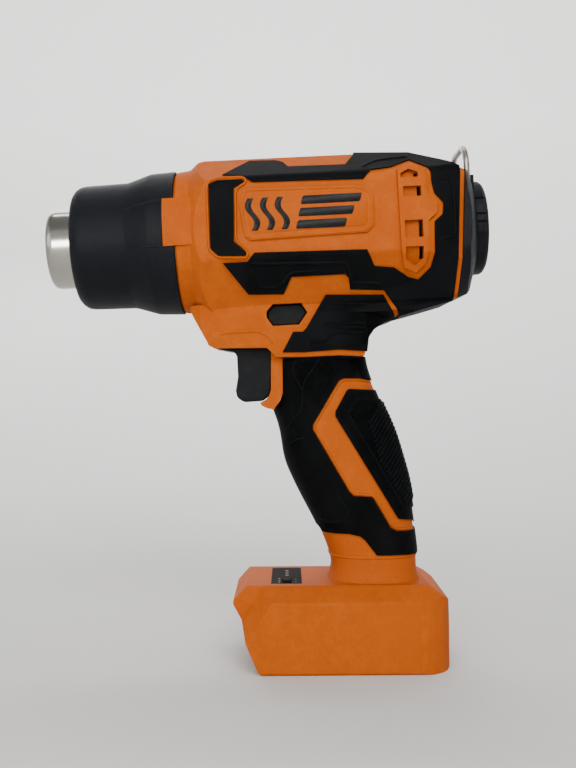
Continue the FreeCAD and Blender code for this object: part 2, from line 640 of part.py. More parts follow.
def fan_impeller():
    """Axial fan with a spinner hub and leaning blades."""
    hub = turned([(FAN_FRONT - 2, 0), (FAN_FRONT - 2, 4.5), (FAN_FRONT, 8.0), (FAN_BACK, 8.0),
                  (FAN_BACK, 0)])
    blades = []
    for i in range(FAN_BLADES):
        blade = box(-6.6, 6.6, -0.7, 0.7, 7.0, FAN_RADIUS)
        blade.rotate(V(0, 0, 0), V(0, 0, 1), 42)
        blade.translate(V((FAN_FRONT + FAN_BACK) / 2, 0, 0))
        blade.rotate(V(0, 0, 0), V(1, 0, 0), 360.0 * i / FAN_BLADES)
        blades.append(blade)
    limit = rod(FAN_RADIUS, FAN_FRONT - 2, FAN_BACK)
    fan = joined([hub] + blades).common(limit)
    return placed(fan.cut(rod(SHAFT_RADIUS, FAN_FRONT - 1, FAN_BACK + 5)))


# ---------------------------------------------------------------- rear end
def drum_pads():
    """Raised pads along both sides of the rear drum."""
    r = DRUM_RADIUS
    proud = r + DRUM_PAD_PROUD
    ring = turned([(DRUM_FRONT + 1.5, r - 1.5), (DRUM_FRONT + 1.5, proud), (DRUM_BACK - 2.0, proud),
                   (DRUM_BACK - 1.2, proud - 0.8), (DRUM_BACK - 1.2, r - 1.5)])
    pads = []
    for low, high in DRUM_PADS:
        corners = [V(DRUM_FRONT, 0, 0)]
        for angle in (low, (low + high) / 2, high):
            a = math.radians(angle)
            corners.append(V(DRUM_FRONT, -40 * math.cos(a), 40 * math.sin(a)))
        wedge = outline_face(corners, 0).extrude(V(12, 0, 0))
        pad = ring.common(wedge)
        pads.append(pad)
        pads.append(flipped(pad))
    return pads


def rear_cap():
    """Intake cap and bumper drum that closes the back of the body."""
    side = [(82.1, 20.4), (87.0, 21.2), (88.5, 20.6), (88.5, -20.5), (87.6, -22.1), (85.1, -27.6),
            (82.9, -29.8), (78.2, -31.2)]
    tail = side_prism(side, -REACH, REACH)
    section = section_prism(mirrored(BODY_SECTION), 70, 95, BODY_EDGE_RADIUS)
    cone = turned([(76, 0), (76, 36.9), (82.5, 35.0), (84.4, 31.8), (86.0, 27.0), (87.4, 23.0),
                   (88.5, 20.0), (88.5, 0)])
    shell = common([tail, section, cone])
    r = DRUM_RADIUS
    back = DRUM_BACK
    drum = turned([(DRUM_FRONT, 0), (DRUM_FRONT, r), (back - 1.6, r - 0.5), (back - 0.5, r - 1.2),
                   (back, r - 2.0), (back, 0)])
    hollow_side = [(70.0, 18.4), (84.0, 17.4), (84.0, -23.0), (70.0, -27.5)]
    hollow = side_prism(hollow_side, -REACH, REACH)
    hollow = hollow.common(turned([(60, 0), (60, 27.5), (80.0, 27.5), (85.0, 20.0), (85.0, 0)]))
    well = rod(16.5, 83.0, 92.0)
    lugs = []
    slots = []
    for side_sign in (-1, 1):
        inner_edge = LOOP_HALF_WIDTH - LOOP_SLOT_HALF
        outer_edge = LOOP_HALF_WIDTH + LOOP_SLOT_HALF
        lug_y = sorted((side_sign * 4.5, side_sign * inner_edge))
        lugs.append(box(82.2, 88.6, lug_y[0], lug_y[1], 13.8, 20.5))
        slot_y = sorted((side_sign * inner_edge, side_sign * outer_edge))
        slots.append(box(LOOP_U - 2.4, 97.0, slot_y[0], slot_y[1], LOOP_V - 2.4, 40))
        pin_y = sorted((0, side_sign * (LOOP_HALF_WIDTH + 2)))
        slots.append(cross_rod(LOOP_WIRE + LOOP_PIN_CLEARANCE, LOOP_U, LOOP_V, pin_y[0], pin_y[1]))
    intakes = []
    for i in range(5):
        level = 12.0 - 6.0 * i
        half = 11.5 if abs(level) > 9 else 13.5
        intakes.append(box(90, 96, -half, half, level - 1.2, level + 1.2))
    cap = joined([shell, drum] + drum_pads()).cut([hollow, well])
    cap = joined([cap] + lugs).cut(slots + intakes)
    return placed(cap)


def hang_loop():
    """Steel wire bail, its two ends turned inward as pivots."""
    y = LOOP_HALF_WIDTH
    foot_v = LOOP_V
    bend = LOOP_TOP - LOOP_CORNER
    inset = y - LOOP_CORNER
    edges = [Part.makeLine(V(LOOP_U, -y, foot_v), V(LOOP_U, -y, bend))]
    half = LOOP_CORNER * math.sqrt(0.5)
    edges.append(Part.Arc(V(LOOP_U, -y, bend), V(LOOP_U, -inset - half, bend + half),
                          V(LOOP_U, -inset, LOOP_TOP)).toShape())
    edges.append(Part.makeLine(V(LOOP_U, -inset, LOOP_TOP), V(LOOP_U, inset, LOOP_TOP)))
    edges.append(Part.Arc(V(LOOP_U, inset, LOOP_TOP), V(LOOP_U, inset + half, bend + half),
                          V(LOOP_U, y, bend)).toShape())
    edges.append(Part.makeLine(V(LOOP_U, y, bend), V(LOOP_U, y, foot_v)))
    path = Part.Wire(edges)
    profile = Part.Wire(Part.makeCircle(LOOP_WIRE, V(LOOP_U, -y, foot_v), V(0, 0, 1)))
    bow = path.makePipeShell([profile], True, True)
    parts = [bow]
    for side_sign in (-1, 1):
        ends = sorted((side_sign * 5.5, side_sign * y))
        parts.append(cross_rod(LOOP_WIRE, LOOP_U, foot_v, ends[0], ends[1]))
        parts.append(Part.makeSphere(LOOP_WIRE, V(LOOP_U, side_sign * y, foot_v)))
    return placed(joined(parts))


# ---------------------------------------------------------------- switch and controls
def trigger():
    """Trigger with the stem that pushes the switch."""
    finger = side_prism(TRIGGER_SIDE, -TRIGGER_HALF_WIDTH, TRIGGER_HALF_WIDTH)
    stem = box(0.5, 9.0, -4.5, 4.5, 119.5, 128.5)
    return joined([finger, stem])


def switch_plunger():
    """Round plunger between the trigger stem and the switch."""
    return Part.makeCylinder(2.0, 14.0, V(9.0, 0, 124.0), V(1, 0, 0))


def switch_body():
    block = box(18.5, 36.0, -8.5, 8.5, 112.0, 134.0)
    bore = Part.makeCylinder(2.3, 14.0, V(17.0, 0, 124.0), V(1, 0, 0))
    lugs = [box(36.0, 38.0, -2.5, -1.2, 114, 120), box(36.0, 38.0, 1.2, 2.5, 114, 120)]
    return joined([block] + lugs).cut(bore)


def trigger_spring():
    """Coil spring around the plunger."""
    helix = Part.makeHelix(SPRING_LENGTH / SPRING_TURNS, SPRING_LENGTH, SPRING_RADIUS)
    start = V(SPRING_RADIUS, 0, 0)
    profile = Part.Wire(Part.makeCircle(SPRING_WIRE, start, V(0, 1, 0)))
    coil = Part.Wire(helix).makePipeShell([profile], True, True)
    coil.rotate(V(0, 0, 0), V(0, 1, 0), 90)
    coil.translate(V(9.0 + SPRING_WIRE, 0, 124.0))
    return coil


def lock_button():
    """Cross button that locks the trigger, longer on the right at rest."""
    bar = side_prism(grown(LOCK_SLOT, -MOVING_GAP), -LOCK_HALF_LENGTH, LOCK_HALF_LENGTH)
    bar.translate(V(0, LOCK_OFFSET, 0))
    return bar


def control_panel():
    """Dark plate on the foot, with a window for the button."""
    plate = box(PANEL_FRONT, PANEL_BACK, -PANEL_HALF_WIDTH, PANEL_HALF_WIDTH,
                FOOT_HEIGHT - PANEL_THICKNESS, FOOT_HEIGHT)
    return plate.cut(button_hole())


def button_hole():
    gap = MOVING_GAP
    return box(BUTTON_X - BUTTON_HALF_X - gap, BUTTON_X + BUTTON_HALF_X + gap,
               BUTTON_Y - BUTTON_HALF_Y - gap, BUTTON_Y + BUTTON_HALF_Y + gap, 31.0, 40.0)


def mode_button():
    cap = box(BUTTON_X - BUTTON_HALF_X, BUTTON_X + BUTTON_HALF_X, BUTTON_Y - BUTTON_HALF_Y,
              BUTTON_Y + BUTTON_HALF_Y, 31.5, FOOT_HEIGHT + 0.9)
    shelf = box(BUTTON_X - 3.0, BUTTON_X + 3.0, BUTTON_Y - 5.0, BUTTON_Y + 5.0, 31.2, 32.4)
    return joined([cap, shelf])


def control_board():
    """Circuit board with its push switch and a few components."""
    board = box(-2.5, 19.0, -BOARD_HALF_WIDTH, BOARD_HALF_WIDTH, 25.0, 26.6)
    switch = box(BUTTON_X - 3, BUTTON_X + 3, BUTTON_Y - 3, BUTTON_Y + 3, 26.6, 30.0)
    lights = [box(6.5, 9.0, y - 1.2, y + 1.2, 26.6, 28.0) for y in (-3.0, 3.0, 9.0)]
    chip = box(-1.0, 4.5, 2.0, 9.0, 26.6, 27.8)
    return joined([board, switch, chip] + lights)


def terminal_block():
    """Insulating block above the battery bay that holds the blades."""
    block = box(40.0, 58.0, -14.0, 14.0, 4.5, BAY_HEIGHT)
    return block.cut(blade_plates())


def blade_plates():
    return [box(26.0, 50.0, y - 0.5, y + 0.5, 6.5, 11.0) for y in BLADE_PLACES]


def terminal_blades():
    return Part.makeCompound(blade_plates())


def wiring():
    """Leads from the battery terminals up to the switch and on to the heater."""
    runs = [[(50.0, -4.0, BAY_HEIGHT), (50.0, -4.0, 34.0), (40.0, -4.0, 70.0), (33.0, -4.0, 110.8)],
            [(50.0, 4.0, BAY_HEIGHT), (50.0, 4.0, 34.0), (40.0, 4.0, 70.0), (33.0, 4.0, 110.8)]]
    leads = []
    for run in runs:
        corners = [V(*point) for point in run]
        for start, end in zip(corners, corners[1:]):
            leads.append(Part.makeCylinder(1.1, (end - start).Length, start, end - start))
            leads.append(Part.makeSphere(1.1, end))
    return joined(leads)


# ---------------------------------------------------------------- assembly
def save(shape, name):
    shape.exportStep("parts/%s.step" % name)


def build():
    os.makedirs("parts", exist_ok=True)
    skin = upper_form(RUBBER_PROUD).cut(upper_form(-RUBBER_SUNK))
    soft = {"body_grip": soft_piece(skin, BODY_GRIP, True),
            "side_bracket": soft_piece(skin, SIDE_BRACKET, True),
            "neck_grip": soft_piece(skin, NECK_GRIP, False, placed(side_prism(BODY_GRIP, -80, 10))),
            "handle_grip": soft_piece(skin, HANDLE_GRIP, False, inlay_prism())}
    pad_prism = side_prism(GRIP_PAD, -REACH, 0)
    soft["handle_grip"] = soft["handle_grip"].cut([pad_prism, trigger_pocket()])
    pad_skin = handle(PAD_PROUD).cut(handle(-RUBBER_SUNK))
    soft["grip_pad"] = pad_skin.common(pad_prism)
    whole = housing_solid()
    panel_seat = box(PANEL_FRONT, PANEL_BACK, -PANEL_HALF_WIDTH, PANEL_HALF_WIDTH,
                     FOOT_HEIGHT - PANEL_THICKNESS, FOOT_HEIGHT + 1)
    whole = whole.cut([lock_bar_pocket(), panel_seat, button_hole()])
    left = whole.common(box(-100, 120, -REACH, 0, -5, 230))
    right = whole.common(box(-100, 120, 0, REACH, -5, 230))
    save(left.cut(screw_holes(-1) + list(soft.values())), "housing_left")
    other = {name: flipped(piece) for name, piece in soft.items()}
    holes = screw_holes(1)
    save(right.cut(holes + list(other.values())), "housing_right")
    for name, piece in soft.items():
        save(piece, name + "_left")
    for name, piece in other.items():
        save(piece.cut(holes), name + "_right")
    save(front_shroud(), "front_shroud")
    save(outlet_nozzle(), "outlet_nozzle")
    save(mica_tube(), "mica_tube")
    save(heater_core(), "heater_core")
    save(heating_coil(), "heating_coil")
    save(thermal_fuse(), "thermal_fuse")
    save(air_duct(), "air_duct")
    save(motor_body(), "motor_body")
    save(motor_bracket(), "motor_bracket")
    save(rotor_shaft(), "rotor_shaft")
    save(fan_impeller(), "fan_impeller")
    save(rear_cap(), "rear_cap")
    save(hang_loop(), "hang_loop")
    save(trigger(), "trigger")
    save(switch_plunger(), "switch_plunger")
    save(switch_body(), "switch_body")
    save(trigger_spring(), "trigger_spring")
    save(lock_button(), "lock_button")
    save(control_panel(), "control_panel")
    save(mode_button(), "mode_button")
    save(control_board(), "control_board")
    save(terminal_block(), "terminal_block")
    save(terminal_blades(), "terminal_blades")
    save(wiring(), "wiring")
    save(screws(), "housing_screws")


build()
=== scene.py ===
import math

import bmesh
import bpy
from mathutils import Matrix, Vector
from mathutils.bvhtree import BVHTree


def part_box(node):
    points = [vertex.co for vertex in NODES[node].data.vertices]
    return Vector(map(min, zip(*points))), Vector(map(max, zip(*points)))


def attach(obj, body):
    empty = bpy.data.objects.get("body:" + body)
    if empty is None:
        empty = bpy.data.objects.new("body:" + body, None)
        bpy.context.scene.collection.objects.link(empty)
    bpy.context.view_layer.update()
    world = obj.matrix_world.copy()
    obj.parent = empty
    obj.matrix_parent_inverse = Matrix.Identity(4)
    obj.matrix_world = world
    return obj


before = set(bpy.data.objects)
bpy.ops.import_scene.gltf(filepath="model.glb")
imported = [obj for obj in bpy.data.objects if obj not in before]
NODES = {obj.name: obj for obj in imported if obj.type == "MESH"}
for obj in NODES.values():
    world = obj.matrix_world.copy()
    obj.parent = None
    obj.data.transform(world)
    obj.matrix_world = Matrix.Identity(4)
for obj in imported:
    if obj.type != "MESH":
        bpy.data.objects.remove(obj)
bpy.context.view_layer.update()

MM = 0.001
TILT = math.radians(2.6)
AXIS_HEIGHT = 182.0


# ------------------------------------------------------------------ node helpers
class Graph:
    """Short-hand for building one material's node tree."""

    def __init__(self, name):
        self.material = bpy.data.materials.new(name)
        self.material.use_nodes = True
        self.tree = self.material.node_tree
        self.tree.nodes.clear()
        self.out = self.tree.nodes.new("ShaderNodeOutputMaterial")
        self.shader = self.tree.nodes.new("ShaderNodeBsdfPrincipled")
        self.link(self.shader.outputs[0], self.out.inputs["Surface"])
        self.coord = self.tree.nodes.new("ShaderNodeTexCoord").outputs["Object"]
        self.height = None

    def link(self, a, b):
        self.tree.links.new(a, b)

    def put(self, kind, **values):
        node = self.tree.nodes.new(kind)
        for key, value in values.items():
            if key in node.inputs:
                self.feed(node.inputs[key], value)
            else:
                setattr(node, key, value)
        return node

    def feed(self, socket, value):
        if isinstance(value, bpy.types.NodeSocket):
            self.link(value, socket)
        else:
            socket.default_value = value

    def math(self, operation, a, b=0.0, c=0.0, clamp=False):
        node = self.tree.nodes.new("ShaderNodeMath")
        node.operation = operation
        node.use_clamp = clamp
        for socket, value in zip(node.inputs, (a, b, c)):
            self.feed(socket, value)
        return node.outputs[0]

    def noise(self, scale, detail=3.0, roughness=0.5, vector=None, distortion=0.0):
        node = self.put("ShaderNodeTexNoise", Scale=scale, Detail=detail, Roughness=roughness,
                        Distortion=distortion)
        self.link(vector or self.coord, node.inputs["Vector"])
        return node.outputs["Fac"]

    def voronoi(self, scale, feature="F1", vector=None):
        node = self.tree.nodes.new("ShaderNodeTexVoronoi")
        node.feature = feature
        node.inputs["Scale"].default_value = scale
        self.link(vector or self.coord, node.inputs["Vector"])
        return node.outputs["Distance"]

    def stretched(self, x, y, z):
        node = self.put("ShaderNodeMapping")
        node.inputs["Scale"].default_value = (x, y, z)
        self.link(self.coord, node.inputs["Vector"])
        return node.outputs[0]

    def ramp(self, value, low, high, out_low=0.0, out_high=1.0):
        node = self.tree.nodes.new("ShaderNodeMapRange")
        node.clamp = True
        for key, item in (("Value", value), ("From Min", low), ("From Max", high),
                          ("To Min", out_low), ("To Max", out_high)):
            self.feed(node.inputs[key], item)
        return node.outputs[0]

    def mix(self, factor, a, b):
        node = self.tree.nodes.new("ShaderNodeMix")
        node.data_type = "RGBA"
        self.feed(node.inputs["Factor"], factor)
        self.feed(node.inputs["A"], a)
        self.feed(node.inputs["B"], b)
        return node.outputs["Result"]

    def edges(self, low=0.505, high=0.56):
        """Convex edges, from the mesh's pointiness."""
        geometry = self.tree.nodes.new("ShaderNodeNewGeometry")
        return self.ramp(geometry.outputs["Pointiness"], low, high)

    def xyz(self):
        node = self.put("ShaderNodeSeparateXYZ")
        self.link(self.coord, node.inputs[0])
        return node.outputs

    def bump(self, height, strength, distance):
        node = self.tree.nodes.new("ShaderNodeBump")
        node.inputs["Strength"].default_value = strength
        node.inputs["Distance"].default_value = distance
        self.link(height, node.inputs["Height"])
        if self.height is not None:
            self.link(self.height, node.inputs["Normal"])
        self.height = node.outputs[0]
        self.link(self.height, self.shader.inputs["Normal"])

    def set(self, **values):
        for key, value in values.items():
            self.feed(self.shader.inputs[key.replace("_", " ")], value)
        return self


def rgb(r, g, b):
    return (r, g, b, 1.0)


# ------------------------------------------------------------------ materials
def moulded(name, color, dark, light, rough=0.42, grain=2600.0, grain_height=0.00002,
            wear_and_highlight=0.25, gloss=0.3):
    """Moulded plastic: fine spark grain, faint flow mottling, and paler convex edges, partly rubbed wear
    and partly painted highlight.
    """
    g = Graph(name)
    mottle = g.ramp(g.noise(28.0, 4.0, 0.6), 0.3, 0.7)
    tone = g.mix(mottle, rgb(*dark), rgb(*color))
    fine = g.ramp(g.noise(950.0, 2.0), 0.35, 0.65)
    tone = g.mix(g.math("MULTIPLY", fine, 0.18), tone, rgb(*light))
    # Paler convex edges from pointiness and noise: partly rubbed wear, partly a painted highlight on the
    # rounded edges.
    edge_wear_and_highlight = g.math("MULTIPLY", g.edges(), g.ramp(g.noise(160.0, 5.0, 0.7), 0.42, 0.68))
    tone = g.mix(g.math("MULTIPLY", edge_wear_and_highlight, wear_and_highlight), tone, rgb(*light))
    g.set(Base_Color=tone, IOR=1.5, Specular_IOR_Level=gloss)
    smudge = g.ramp(g.noise(14.0, 5.0, 0.65), 0.3, 0.7, rough - 0.05, rough + 0.09)
    g.set(Roughness=g.math("ADD", smudge, g.math("MULTIPLY", fine, 0.05)))
    g.bump(g.noise(grain, 2.0, 0.6), 0.55, grain_height)
    g.bump(g.noise(60.0, 2.0), 0.1, 0.0001)
    return g.material


def soft_rubber(name, base=(0.0012, 0.0014, 0.0016), light=(0.0085, 0.0092, 0.0105), rough=0.56,
                weave=None):
    """Soft overmould: matte, a little dusty, with a fine leathery grain and paler convex edges, partly wear
    and partly painted highlight.

    weave is a list of half-planes (a, b, c) in x and z; where every a*x + b*z > c, fine crossed
    ribs are moulded in.
    """
    g = Graph(name)
    dust = g.ramp(g.noise(34.0, 6.0, 0.7), 0.42, 0.75)
    fine = g.noise(1400.0, 2.0)
    tone = g.mix(g.math("MULTIPLY", dust, 0.5), rgb(*base), rgb(*light))
    # Paler convex edges: partly wear, partly a painted highlight along the edges and ridges.
    tone = g.mix(g.math("MULTIPLY", g.edges(0.51, 0.58), 0.5), tone, rgb(*light))
    g.set(Base_Color=tone, Roughness=g.ramp(g.noise(20.0, 4.0), 0.3, 0.7, rough - 0.04, rough + 0.1))
    g.set(IOR=1.48, Specular_IOR_Level=0.03)
    g.bump(g.voronoi(1500.0), 0.3, 0.00003)
    g.bump(fine, 0.3, 0.00003)
    if weave:
        x, y, z = g.xyz()
        mask = 1.0
        for a, b, c in weave:
            level = g.math("ADD", g.math("MULTIPLY", x, a), g.math("MULTIPLY", z, b))
            mask = g.math("MULTIPLY", mask, g.ramp(level, c, c + 0.0004))
        first = g.math("SINE", g.math("MULTIPLY", g.math("ADD", x, g.math("MULTIPLY", z, 0.6)), 5200.0))
        second = g.math("SINE", g.math("MULTIPLY", g.math("SUBTRACT", z, g.math("MULTIPLY", x, 0.35)),
                                       4700.0))
        g.bump(g.math("MULTIPLY", mask, g.math("MAXIMUM", first, second)), 0.8, 0.00016)
    return g.material


def brushed_tube(name, color=(0.62, 0.6, 0.57), tint=(0.52, 0.42, 0.3)):
    """Stainless tube: fine turning marks round the axis and a slight straw heat tint at the lip."""
    g = Graph(name)
    x, y, z = g.xyz()
    streaks = g.noise(1.0, 4.0, 0.6, vector=g.stretched(3200.0, 26.0, 26.0))
    blotch = g.ramp(g.noise(90.0, 5.0, 0.6), 0.35, 0.7)
    heat = g.ramp(x, -0.0935, -0.084, 0.45, 0.0)
    tone = g.mix(g.math("MULTIPLY", heat, blotch), rgb(*color), rgb(*tint))
    tone = g.mix(g.ramp(streaks, 0.4, 0.6, 0.0, 0.18), tone, rgb(0.3, 0.29, 0.27))
    g.set(Base_Color=tone, Metallic=1.0, IOR=2.2)
    g.set(Roughness=g.ramp(streaks, 0.3, 0.7, 0.13, 0.24))
    g.bump(streaks, 0.25, 0.00002)
    return g.material


def plain_steel(name, color=(0.55, 0.55, 0.55), rough=0.28):
    """Drawn or plated steel with light scuffs."""
    g = Graph(name)
    scuff = g.noise(1.0, 5.0, 0.65, vector=g.stretched(220.0, 220.0, 900.0))
    dull = g.ramp(g.noise(120.0, 4.0), 0.35, 0.7)
    tone = g.mix(g.math("MULTIPLY", dull, 0.35), rgb(*color), rgb(*[c * 0.6 for c in color]))
    g.set(Base_Color=tone, Metallic=1.0)
    g.set(Roughness=g.ramp(scuff, 0.3, 0.7, rough - 0.06, rough + 0.14))
    g.bump(scuff, 0.15, 0.00003)
    return g.material


ORANGE = moulded("orange plastic", (0.38, 0.069, 0.0045), (0.36, 0.0645, 0.004), (0.5, 0.115, 0.01),
                 rough=0.52, wear_and_highlight=0.4, gloss=0.04)
GUARD = moulded("guard plastic", (0.0046, 0.0058, 0.0082), (0.0034, 0.0043, 0.0062),
                (0.016, 0.0175, 0.021), rough=0.48, wear_and_highlight=0.4, gloss=0.1)
CONTROL = moulded("control plastic", (0.0024, 0.0029, 0.0038), (0.0018, 0.0021, 0.0028),
                  (0.012, 0.013, 0.0155), rough=0.44, wear_and_highlight=0.4, gloss=0.1)
INNER = moulded("inner plastic", (0.012, 0.012, 0.013), (0.008, 0.008, 0.009), (0.04, 0.04, 0.042))
INK = moulded("badge ink", (0.0045, 0.0045, 0.005), (0.003, 0.003, 0.0035), (0.02, 0.02, 0.021),
              rough=0.36, gloss=0.14)
FAN = moulded("fan plastic", (0.14, 0.14, 0.15), (0.1, 0.1, 0.11), (0.25, 0.25, 0.26))
PANEL = moulded("panel film", (0.0105, 0.0088, 0.0086), (0.008, 0.007, 0.0067), (0.024, 0.021, 0.02),
                rough=0.62, grain_height=0.000008, gloss=0.02)
PRINT = moulded("printed dots", (0.16, 0.155, 0.145), (0.12, 0.115, 0.11), (0.24, 0.23, 0.22), gloss=0.1)
BOARD = moulded("solder mask", (0.012, 0.1, 0.04), (0.01, 0.07, 0.03), (0.04, 0.18, 0.08), rough=0.3)
RUBBER = soft_rubber("soft rubber")
GRIP = soft_rubber("grip rubber", weave=[(1.0, 0.0, 0.0115), (-0.85, 0.53, 0.0402), (0.45, 0.9, 0.1085),
                                         (0.0, -1.0, -0.1288)])
PAD = soft_rubber("pad rubber", (0.0013, 0.0015, 0.0018), (0.008, 0.0088, 0.01), 0.58,
                  weave=[(0.86, 0.51, 0.0832), (0.0, -1.0, -0.1118)])
STAINLESS = brushed_tube("stainless tube", (0.4, 0.392, 0.352), (0.3, 0.255, 0.19))
WIRE_STEEL = plain_steel("bail steel", (0.34, 0.315, 0.28), 0.32)
DARK_STEEL = plain_steel("blackened steel", (0.06, 0.06, 0.065), 0.36)
MOTOR_STEEL = plain_steel("motor steel", (0.45, 0.45, 0.45), 0.34)
COIL = plain_steel("heating wire", (0.26, 0.22, 0.2), 0.5)
BRASS = plain_steel("plated brass", (0.72, 0.52, 0.22), 0.3)
MICA = moulded("mica board", (0.5, 0.42, 0.3), (0.38, 0.31, 0.21), (0.68, 0.6, 0.46), rough=0.5)
RED = moulded("wire sleeve", (0.3, 0.02, 0.015), (0.24, 0.014, 0.012), (0.45, 0.06, 0.045))

FINISH = {
    "housing_left": ORANGE, "housing_right": ORANGE, "front_shroud": GUARD, "rear_cap": GUARD,
    "trigger": CONTROL, "lock_button": CONTROL, "mode_button": PANEL, "switch_body": INNER,
    "switch_plunger": INNER, "outlet_nozzle": STAINLESS, "hang_loop": WIRE_STEEL,
    "rotor_shaft": MOTOR_STEEL, "motor_body": MOTOR_STEEL, "motor_bracket": MOTOR_STEEL,
    "trigger_spring": MOTOR_STEEL, "housing_screws": DARK_STEEL, "mica_tube": MICA,
    "heater_core": MICA, "heating_coil": COIL, "thermal_fuse": MOTOR_STEEL, "air_duct": INNER,
    "fan_impeller": FAN, "control_panel": PANEL, "control_board": BOARD, "terminal_block": INNER,
    "terminal_blades": BRASS, "wiring": RED, "grip_pad_left": PAD, "grip_pad_right": PAD,
    "handle_grip_left": GRIP, "handle_grip_right": GRIP,
}


# ------------------------------------------------------------------ mesh helpers
def crisp(obj, width, angle=28.0, segments=2, weld=0.00002):
    """Rounds the hard edges of a CAD node and shades it smooth, by modifiers only."""
    mesh = obj.data
    flat_y = [abs(v.co.y) < 1e-6 for v in mesh.vertices]
    for edge in mesh.edges:
        edge.use_seam = flat_y[edge.vertices[0]] and flat_y[edge.vertices[1]]
    join = obj.modifiers.new("weld", "WELD")
    join.merge_threshold = weld
    flat = obj.modifiers.new("planar", "DECIMATE")
    flat.decimate_type = "DISSOLVE"
    flat.angle_limit = math.radians(0.6)
    flat.delimit = {"SEAM"}
    soften = obj.modifiers.new("edges", "BEVEL")
    soften.width = width
    soften.segments = segments
    soften.limit_method = "ANGLE"
    soften.angle_limit = math.radians(angle)
    soften.use_clamp_overlap = True
    soften.harden_normals = True
    soften.miter_outer = "MITER_ARC"
    shading = obj.modifiers.new("shading", "WEIGHTED_NORMAL")
    shading.mode = "FACE_AREA"
    shading.weight = 70
    mesh.polygons.foreach_set("use_smooth", [True] * len(mesh.polygons))


def finish_nodes():
    widths = {"housing_left": 0.0003, "housing_right": 0.0003, "front_shroud": 0.0004,
              "rear_cap": 0.00035, "trigger": 0.0011, "lock_button": 0.0004,
              "control_panel": 0.00015, "mode_button": 0.0003}
    for name, obj in NODES.items():
        material = FINISH.get(name, RUBBER)
        for slot in obj.material_slots:
            slot.material = material
        crisp(obj, widths.get(name, 0.0003))


def barrel(u, v):
    """Tool coordinates (x, z), in mm, of a point along and above the barrel's axis."""
    return (u * math.cos(TILT) - v * math.sin(TILT),
            AXIS_HEIGHT + u * math.sin(TILT) + v * math.cos(TILT))


def on_barrel(points):
    return [barrel(u, v) for u, v in points]


def grown(points, amount):
    """A closed outline moved outward by amount, its corners kept sharp."""
    count = len(points)
    area = sum(points[i - 1][0] * points[i][1] - points[i][0] * points[i - 1][1]
               for i in range(count))
    turn = 1.0 if area > 0 else -1.0
    result = []
    for i in range(count):
        before = Vector(points[i]) - Vector(points[i - 1])
        after = Vector(points[(i + 1) % count]) - Vector(points[i])
        first = Vector((before.y, -before.x)).normalized()
        second = Vector((after.y, -after.x)).normalized()
        move = (first + second) * (turn * amount / (1.0 + first.dot(second)))
        result.append((points[i][0] + move.x, points[i][1] + move.y))
    return result


def eased(points, closed, cuts=2, reach=1.2):
    """The same line with its corners cut back by up to reach mm, twice, so that they turn smoothly."""
    line = [Vector(p) for p in points]
    for step in range(cuts):
        result = []
        count = len(line)
        for i, p in enumerate(line):
            if not closed and i in (0, count - 1):
                result.append(p)
                continue
            back = line[i - 1] - p
            ahead = line[(i + 1) % count] - p
            cut = min(reach / (step + 1), 0.3 * back.length, 0.3 * ahead.length)
            result += [p + back.normalized() * cut, p + ahead.normalized() * cut]
        line = result
    return line


def spaced(line, closed, step):
    """Points every step mm along a line."""
    if closed:
        line = line + [line[0]]
    result = []
    for a, b in zip(line, line[1:]):
        count = max(1, math.ceil((b - a).length / step))
        result += [a.lerp(b, i / count) for i in range(count)]
    if not closed:
        result.append(line[-1])
    return result


class Skin:
    """The outer surface of some CAD nodes, to lay details on."""

    def __init__(self, names):
        points = []
        faces = []
        for name in names:
            obj = NODES[name]
            start = len(points)
            points += [obj.matrix_world @ v.co for v in obj.data.vertices]
            faces += [[start + i for i in p.vertices] for p in obj.data.polygons]
        self.tree = BVHTree.FromPolygons(points, faces)

    def across(self, x, z, side):
        """Where a line across the tool meets the surface from that side, in mm, and its normal."""
        hit = self.tree.ray_cast(Vector((x, side * 90.0, z)) * MM, Vector((0.0, -side, 0.0)))
        return hit[0], hit[1]

    def toward(self, centre, direction):
        """Where a line from outside towards centre first meets the surface, and its normal."""
        start = (centre + direction * 70.0) * MM
        hit = self.tree.ray_cast(start, -direction)
        return hit[0], hit[1]


